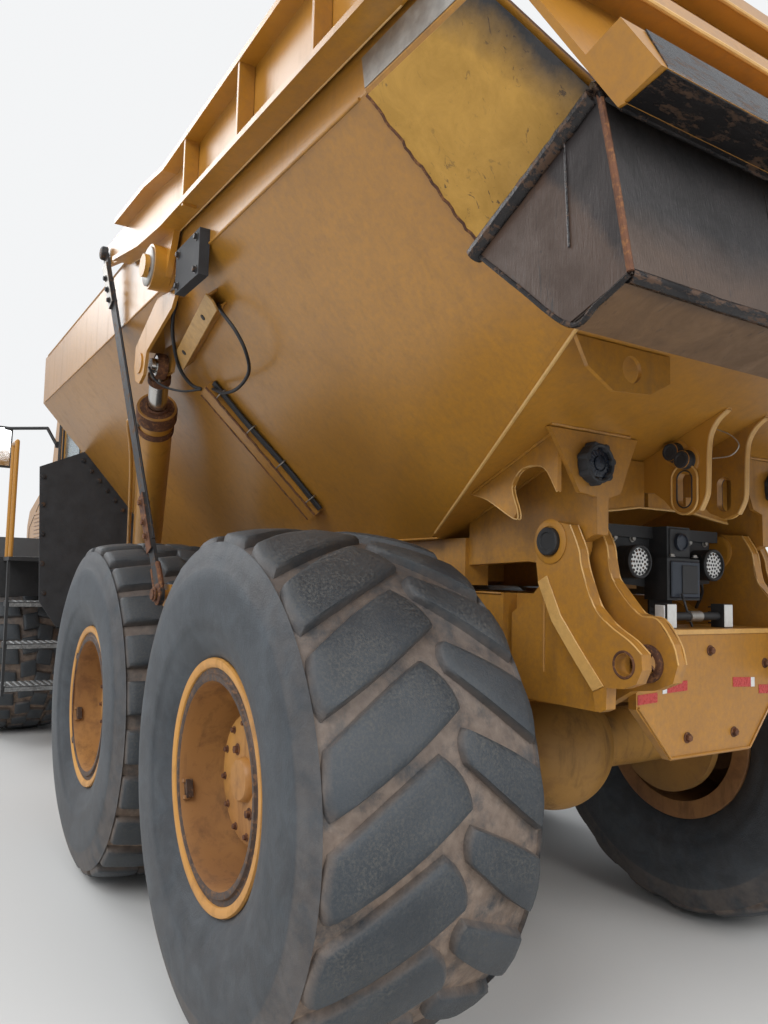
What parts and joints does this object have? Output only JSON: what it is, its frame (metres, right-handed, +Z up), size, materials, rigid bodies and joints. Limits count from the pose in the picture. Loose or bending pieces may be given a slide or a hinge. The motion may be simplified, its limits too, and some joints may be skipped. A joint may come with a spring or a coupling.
{
  "type": "articulated dump truck",
  "caption": "Articulated off-road dump truck: tractor with cab and hood, steering hitch, tandem rear axles and a tipping load body whose tailgate swings up on side arms.",
  "frame": {"origin": "on the ground under the middle of the truck", "axes": "+X forward along the truck, +Y to its left, +Z up"},
  "size_m": [9.95, 3.024, 3.4398],
  "materials": {
    "ochre_paint": "satin, dusty",
    "dark_steel": "satin",
    "black_plastic": "matte",
    "worn_steel": "scraped and rusty",
    "black_rubber": "matte",
    "cast_iron": "cast",
    "lamp_glass": "clear",
    "red_lens": "moulded lens",
    "window_glass": "tinted",
    "tyre_rubber": "worn matte",
    "polished_rod": "polished"
  },
  "bodies": {
    "rear_frame": {"rear_frame": "ochre_paint", "mid_axle": "ochre_paint", "rear_axle": "ochre_paint", "tandem_beams": "dark_steel", "drive_shafts": "dark_steel", "tail_lights": "black_plastic"},
    "dump_body": {"bin": "ochre_paint", "body_frame": "ochre_paint", "body_lamps": "red_lens", "tail_lip": "worn_steel", "mudguards": "black_rubber"},
    "tailgate": {"tailgate": "ochre_paint"},
    "straps": {"straps": "dark_steel"},
    "artic_link": {"hitch_knuckle": "ochre_paint"},
    "tractor": {"front_frame": "ochre_paint", "front_axle": "ochre_paint", "bumper": "dark_steel", "engine_block": "cast_iron", "cab_shell": "ochre_paint", "cab_glass": "window_glass", "cab_interior": "black_plastic", "front_fenders": "black_plastic", "steps": "black_plastic", "fuel_tank": "ochre_paint", "handrails": "ochre_paint", "mirrors": "black_plastic", "exhaust": "worn_steel"},
    "hood_lid": {"hood": "ochre_paint", "grille": "black_plastic", "headlamps": "lamp_glass"},
    "door": {"cab_door": "ochre_paint", "door_glass": "window_glass"},
    "hoist_barrel_left": {"hoist_barrel_left": "ochre_paint"},
    "hoist_barrel_right": {"hoist_barrel_right": "ochre_paint"},
    "hoist_rod_left": {"hoist_rod_left": "polished_rod"},
    "hoist_rod_right": {"hoist_rod_right": "polished_rod"},
    "steer_barrel_left": {"steer_barrel_left": "ochre_paint"},
    "steer_barrel_right": {"steer_barrel_right": "ochre_paint"},
    "steer_rod_left": {"steer_rod_left": "polished_rod"},
    "steer_rod_right": {"steer_rod_right": "polished_rod"},
    "wheel_rear_left_body": {"tyre_rear_left": "tyre_rubber", "rim_rear_left": "ochre_paint"},
    "wheel_rear_right_body": {"tyre_rear_right": "tyre_rubber", "rim_rear_right": "ochre_paint"},
    "wheel_mid_left_body": {"tyre_mid_left": "tyre_rubber", "rim_mid_left": "ochre_paint"},
    "wheel_mid_right_body": {"tyre_mid_right": "tyre_rubber", "rim_mid_right": "ochre_paint"},
    "wheel_front_left_body": {"tyre_front_left": "tyre_rubber", "rim_front_left": "ochre_paint"},
    "wheel_front_right_body": {"tyre_front_right": "tyre_rubber", "rim_front_right": "ochre_paint"}
  },
  "joints": [
    {"name": "body_tip", "type": "hinge", "parent": "rear_frame", "child": "dump_body", "pos_m": [-3.935, 0, 1.57], "axis": [0, -1, 0], "range_deg": [0, 70]},
    {"name": "tailgate_swing", "type": "hinge", "parent": "dump_body", "child": "tailgate", "pos_m": [-2.699, 0, 2.653], "axis": [0, 1, 0], "range_deg": [0, 105]},
    {"name": "strap_swing", "type": "hinge", "parent": "rear_frame", "child": "straps", "pos_m": [-2.565, 0, 1.357], "axis": [0, -1, 0], "range_deg": [0, 58.4]},
    {"name": "hoist_swing_left", "type": "hinge", "parent": "rear_frame", "child": "hoist_barrel_left", "pos_m": [-0.115, 0.72, 0.95], "axis": [0.4659, -0.2958, 0.8339], "range_deg": [0, 5.84]},
    {"name": "hoist_slide_left", "type": "slide", "parent": "hoist_barrel_left", "child": "hoist_rod_left", "axis": [-0.8169, 0.2183, 0.5338], "range_m": [0, 2.0724]},
    {"name": "hoist_swing_right", "type": "hinge", "parent": "rear_frame", "child": "hoist_barrel_right", "pos_m": [-0.115, -0.72, 0.95], "axis": [-0.4659, -0.2958, -0.8339], "range_deg": [0, 5.84]},
    {"name": "hoist_slide_right", "type": "slide", "parent": "hoist_barrel_right", "child": "hoist_rod_right", "axis": [-0.8169, -0.2183, 0.5338], "range_m": [0, 2.0724]},
    {"name": "oscillation", "type": "hinge", "parent": "rear_frame", "child": "artic_link", "pos_m": [-0.115, 0, 0.95], "axis": [1, 0, 0], "range_deg": [-15, 15]},
    {"name": "steering", "type": "hinge", "parent": "artic_link", "child": "tractor", "pos_m": [1.135, 0, 0.95], "axis": [0, 0, 1], "range_deg": [-45, 45]},
    {"name": "steer_swing_left", "type": "hinge", "parent": "tractor", "child": "steer_barrel_left", "pos_m": [2.135, 0.24, 1.21], "axis": [0, 0, 1], "range_deg": [-4.44, 4.44]},
    {"name": "steer_slide_left", "type": "slide", "parent": "steer_barrel_left", "child": "steer_rod_left", "axis": [-0.9981, 0.0624, 0], "range_m": [-0.2212, 0.2212]},
    {"name": "steer_swing_right", "type": "hinge", "parent": "tractor", "child": "steer_barrel_right", "pos_m": [2.135, -0.24, 1.21], "axis": [0, 0, 1], "range_deg": [-4.44, 4.44]},
    {"name": "steer_slide_right", "type": "slide", "parent": "steer_barrel_right", "child": "steer_rod_right", "axis": [-0.9981, -0.0624, 0], "range_m": [-0.2212, 0.2212]},
    {"name": "hood_tilt", "type": "hinge", "parent": "tractor", "child": "hood_lid", "pos_m": [4.805, 0, 1.245], "axis": [0, 1, 0], "range_deg": [0, 60]},
    {"name": "cab_door_swing", "type": "hinge", "parent": "tractor", "child": "door", "pos_m": [1.593, 0.836, 2.5], "axis": [0, 0, 1], "range_deg": [0, 80]},
    {"name": "wheel_rear_left", "type": "hinge", "parent": "rear_frame", "child": "wheel_rear_left_body", "pos_m": [-3.415, 1.08, 0.8], "axis": [0, 1, 0], "continuous": true},
    {"name": "wheel_rear_right", "type": "hinge", "parent": "rear_frame", "child": "wheel_rear_right_body", "pos_m": [-3.415, -1.08, 0.8], "axis": [0, 1, 0], "continuous": true},
    {"name": "wheel_mid_left", "type": "hinge", "parent": "rear_frame", "child": "wheel_mid_left_body", "pos_m": [-1.715, 1.08, 0.8], "axis": [0, 1, 0], "continuous": true},
    {"name": "wheel_mid_right", "type": "hinge", "parent": "rear_frame", "child": "wheel_mid_right_body", "pos_m": [-1.715, -1.08, 0.8], "axis": [0, 1, 0], "continuous": true},
    {"name": "wheel_front_left", "type": "hinge", "parent": "tractor", "child": "wheel_front_left_body", "pos_m": [2.465, 1.08, 0.8], "axis": [0, 1, 0], "continuous": true},
    {"name": "wheel_front_right", "type": "hinge", "parent": "tractor", "child": "wheel_front_right_body", "pos_m": [2.465, -1.08, 0.8], "axis": [0, 1, 0], "continuous": true}
  ],
  "couplings": [
    {"joint": "tailgate_swing", "follows": "body_tip", "ratio": 1.5},
    {"joint": "strap_swing", "follows": "body_tip", "ratio": 0.83429},
    {"joint": "hoist_swing_left", "follows": "body_tip", "ratio": 0.08335},
    {"joint": "hoist_slide_left", "follows": "body_tip", "m_per_rad": 1.6954},
    {"joint": "hoist_swing_right", "follows": "body_tip", "ratio": 0.08335},
    {"joint": "hoist_slide_right", "follows": "body_tip", "m_per_rad": 1.6954},
    {"joint": "steer_swing_left", "follows": "steering", "ratio": -0.098487},
    {"joint": "steer_slide_left", "follows": "steering", "m_per_rad": -0.28031},
    {"joint": "steer_swing_right", "follows": "steering", "ratio": -0.098487},
    {"joint": "steer_slide_right", "follows": "steering", "m_per_rad": 0.28031}
  ]
}
